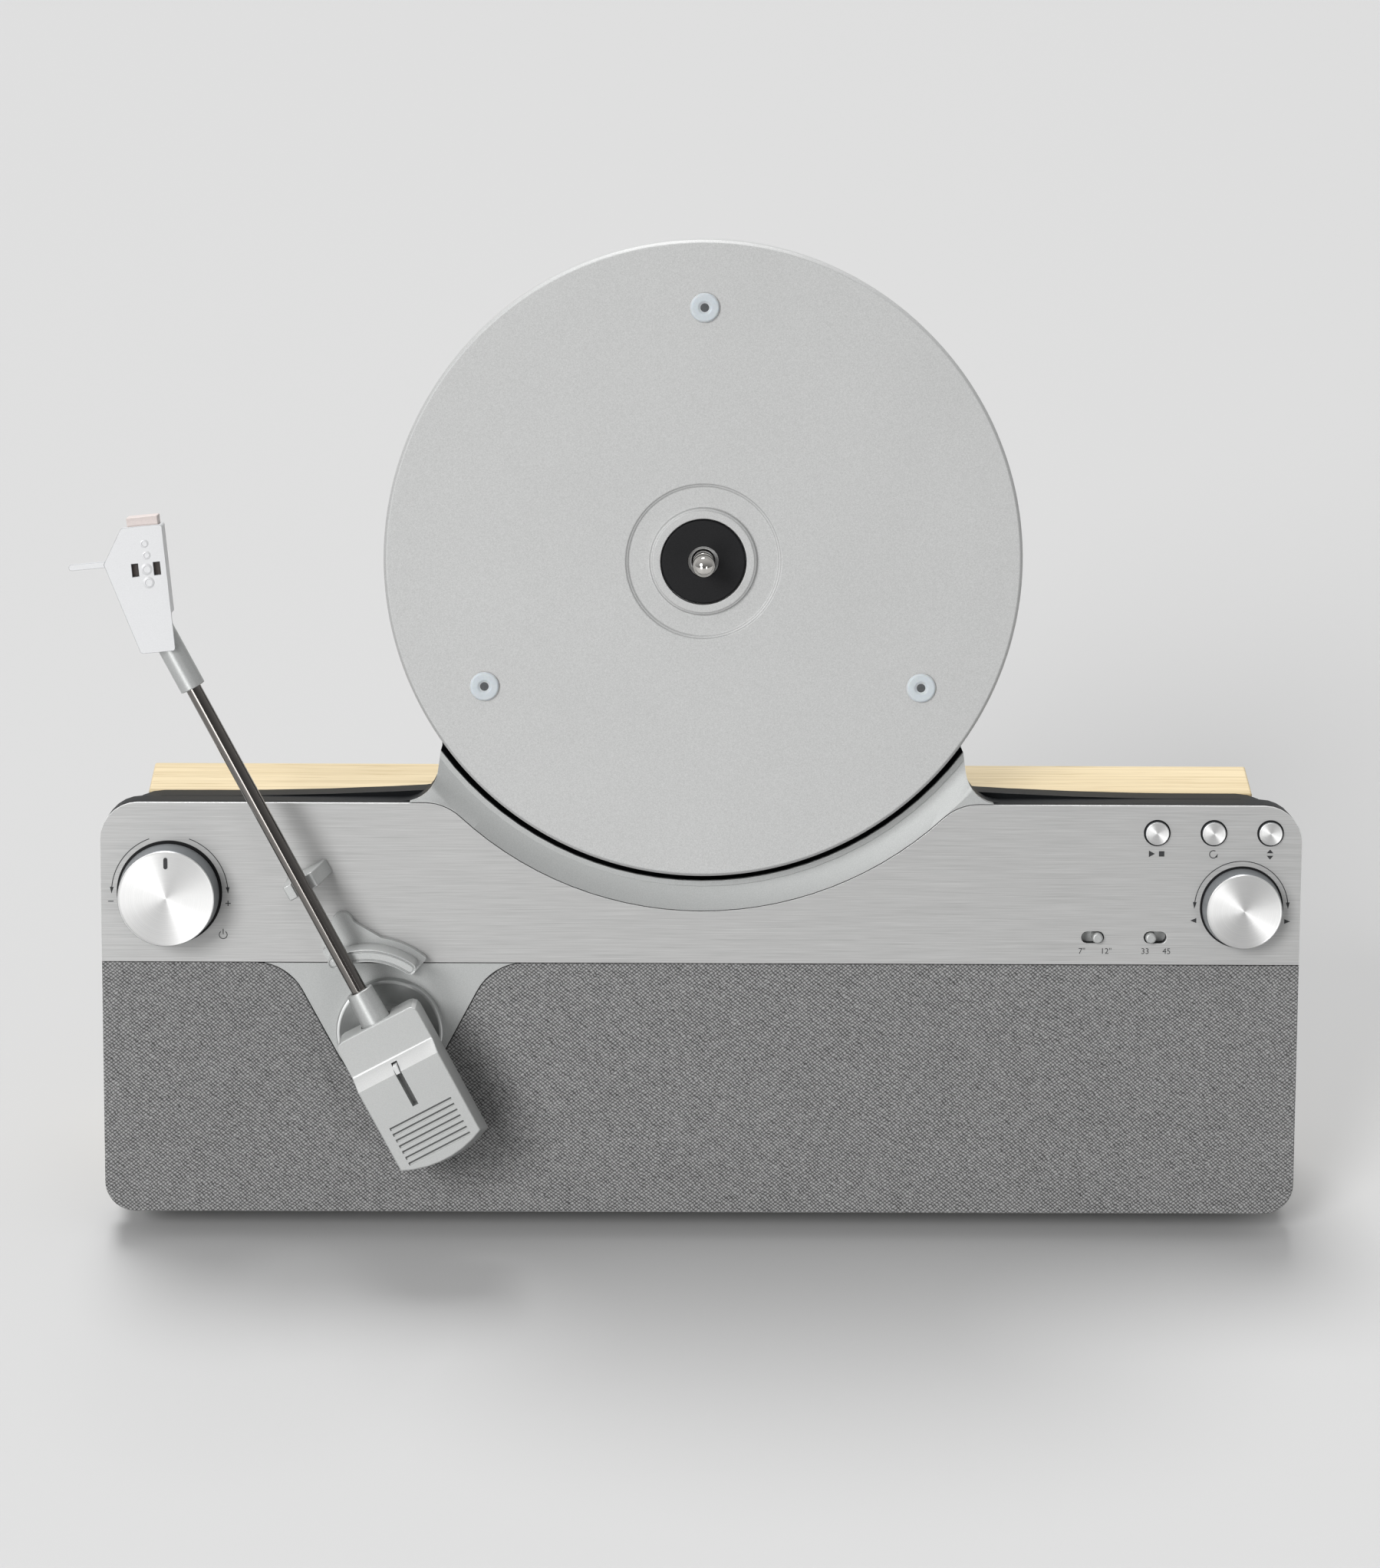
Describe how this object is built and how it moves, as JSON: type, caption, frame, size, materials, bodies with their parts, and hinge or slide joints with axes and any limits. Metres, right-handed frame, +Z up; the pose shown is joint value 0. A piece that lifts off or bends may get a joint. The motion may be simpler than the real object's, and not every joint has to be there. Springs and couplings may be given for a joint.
{
  "type": "vertical record player",
  "caption": "Upright record player: a platter with spindle, a straight tonearm and controls on a leaning front, with a cloth speaker grille, on a slim oak cabinet",
  "frame": {"origin": "Below the middle of the player's outer box, on the surface that it stands on", "axes": "X runs along the cabinet to the viewer's right, Y from the leaning front to the back panel, Z up"},
  "size_m": [0.4008, 0.1476, 0.3204],
  "materials": {
    "oak": "light oak, matt varnish",
    "black_plastic": "satin black",
    "rubber": "black, matt",
    "board_green": "green circuit board",
    "brushed_aluminium": "horizontally brushed, clear anodised",
    "silver_paint": "fine satin silver",
    "fibreboard": "bare fibreboard",
    "grille_cloth": "woven grey cloth",
    "steel": "plain steel",
    "paper_cone": "black paper",
    "silicone": "translucent white",
    "chrome": "polished",
    "pale_plastic": "pale pinkish white",
    "red_plastic": "red",
    "spun_aluminium": "turned, bright"
  },
  "bodies": {
    "cabinet": {"cabinet_shell": "oak", "back_panel": "black_plastic", "foot_front_left": "rubber", "foot_front_right": "rubber", "foot_rear_left": "rubber", "foot_rear_right": "rubber", "power_inlet": "black_plastic", "line_out_jacks": "black_plastic", "main_board": "board_green", "front_frame": "black_plastic", "rear_chassis": "black_plastic", "front_panel": "brushed_aluminium", "panel_carrier": "black_plastic", "platter_surround": "silver_paint", "arm_mount_plate": "silver_paint", "grille_board": "fibreboard", "grille_cloth": "grille_cloth", "speaker_basket_left": "steel", "speaker_cone_left": "paper_cone", "speaker_basket_right": "steel", "speaker_cone_right": "paper_cone", "bearing_housing": "steel", "rear_housing": "black_plastic", "motor": "steel", "drive_belt": "rubber", "arm_base_ring": "silver_paint", "swing_bearing": "steel", "arm_rest": "silver_paint", "lift_plate": "silver_paint", "volume_encoder": "steel", "jog_encoder": "steel", "control_board": "board_green"},
    "platter": {"platter": "silver_paint", "hub_disc": "black_plastic", "spindle": "chrome", "platter_pad_1": "silicone", "platter_pad_2": "silicone", "platter_pad_3": "silicone"},
    "motor_pulley": {"motor_pulley": "pale_plastic"},
    "arm_swivel": {"arm_turret": "silver_paint", "tilt_axle": "steel"},
    "tonearm": {"arm_carriage": "silver_paint", "arm_collar": "silver_paint", "arm_tube": "chrome", "arm_block": "silver_paint", "counterweight": "steel", "arm_sleeve": "silver_paint", "headshell": "silver_paint", "cartridge": "pale_plastic", "stylus": "red_plastic"},
    "lift_rail": {"lift_rail": "silver_paint"},
    "force_slider": {"force_slider": "silver_paint"},
    "volume_shaft": {"volume_shaft": "steel"},
    "volume_knob": {"volume_knob": "spun_aluminium"},
    "jog_knob": {"jog_knob": "spun_aluminium"},
    "start_button": {"start_button": "spun_aluminium"},
    "repeat_button": {"repeat_button": "spun_aluminium"},
    "cueing_button": {"cueing_button": "spun_aluminium"},
    "size_switch": {"size_switch": "silver_paint"},
    "speed_switch": {"speed_switch": "silver_paint"}
  },
  "joints": [
    {"name": "platter_spin", "type": "hinge", "parent": "cabinet", "child": "platter", "pos_m": [0.00285, 0.01124, 0.21941], "axis": [0, 0.9588, -0.284], "continuous": true},
    {"name": "pulley_spin", "type": "hinge", "parent": "cabinet", "child": "motor_pulley", "pos_m": [0.00285, 0.02714, 0.2731], "axis": [0, 0.9588, -0.284], "continuous": true},
    {"name": "arm_swing", "type": "hinge", "parent": "cabinet", "child": "arm_swivel", "pos_m": [-0.09975, -0.03321, 0.06935], "axis": [0, 0.9588, -0.284], "range_deg": [0, 42]},
    {"name": "arm_tilt", "type": "hinge", "parent": "arm_swivel", "child": "tonearm", "pos_m": [-0.09975, -0.05104, 0.07463], "axis": [0.8829, 0.1333, 0.4501], "range_deg": [0, 7.5]},
    {"name": "lift_slide", "type": "slide", "parent": "cabinet", "child": "lift_rail", "axis": [0, -0.9588, 0.284], "range_m": [0, 0.0032]},
    {"name": "force_slide", "type": "slide", "parent": "tonearm", "child": "force_slider", "axis": [0.4695, -0.2508, -0.8466], "range_m": [0, 0.0107]},
    {"name": "volume_press", "type": "slide", "parent": "cabinet", "child": "volume_shaft", "axis": [0, 0.9588, -0.284], "range_m": [0, 0.001], "stiffness_N_per_m": 400, "springref_m": -0.0005},
    {"name": "volume_turn", "type": "hinge", "parent": "volume_shaft", "child": "volume_knob", "pos_m": [-0.17205, -0.0202, 0.11327], "axis": [0, 0.9588, -0.284], "range_deg": [-150, 150]},
    {"name": "jog_turn", "type": "hinge", "parent": "cabinet", "child": "jog_knob", "pos_m": [0.18085, -0.02128, 0.10962], "axis": [0, 0.9588, -0.284], "continuous": true},
    {"name": "start_press", "type": "slide", "parent": "cabinet", "child": "start_button", "axis": [0, 0.9588, -0.284], "range_m": [0, 0.001], "stiffness_N_per_m": 300, "springref_m": -0.0005},
    {"name": "repeat_press", "type": "slide", "parent": "cabinet", "child": "repeat_button", "axis": [0, 0.9588, -0.284], "range_m": [0, 0.001], "stiffness_N_per_m": 300, "springref_m": -0.0005},
    {"name": "cueing_press", "type": "slide", "parent": "cabinet", "child": "cueing_button", "axis": [0, 0.9588, -0.284], "range_m": [0, 0.001], "stiffness_N_per_m": 300, "springref_m": -0.0005},
    {"name": "size_slide", "type": "slide", "parent": "cabinet", "child": "size_switch", "axis": [-1, 0, 0], "range_m": [0, 0.0031]},
    {"name": "speed_slide", "type": "slide", "parent": "cabinet", "child": "speed_switch", "axis": [1, 0, 0], "range_m": [0, 0.0031]}
  ],
  "couplings": [
    {"joint": "pulley_spin", "follows": "platter_spin", "ratio": 10},
    {"joint": "lift_slide", "follows": "arm_tilt", "m_per_rad": 0.024}
  ]
}
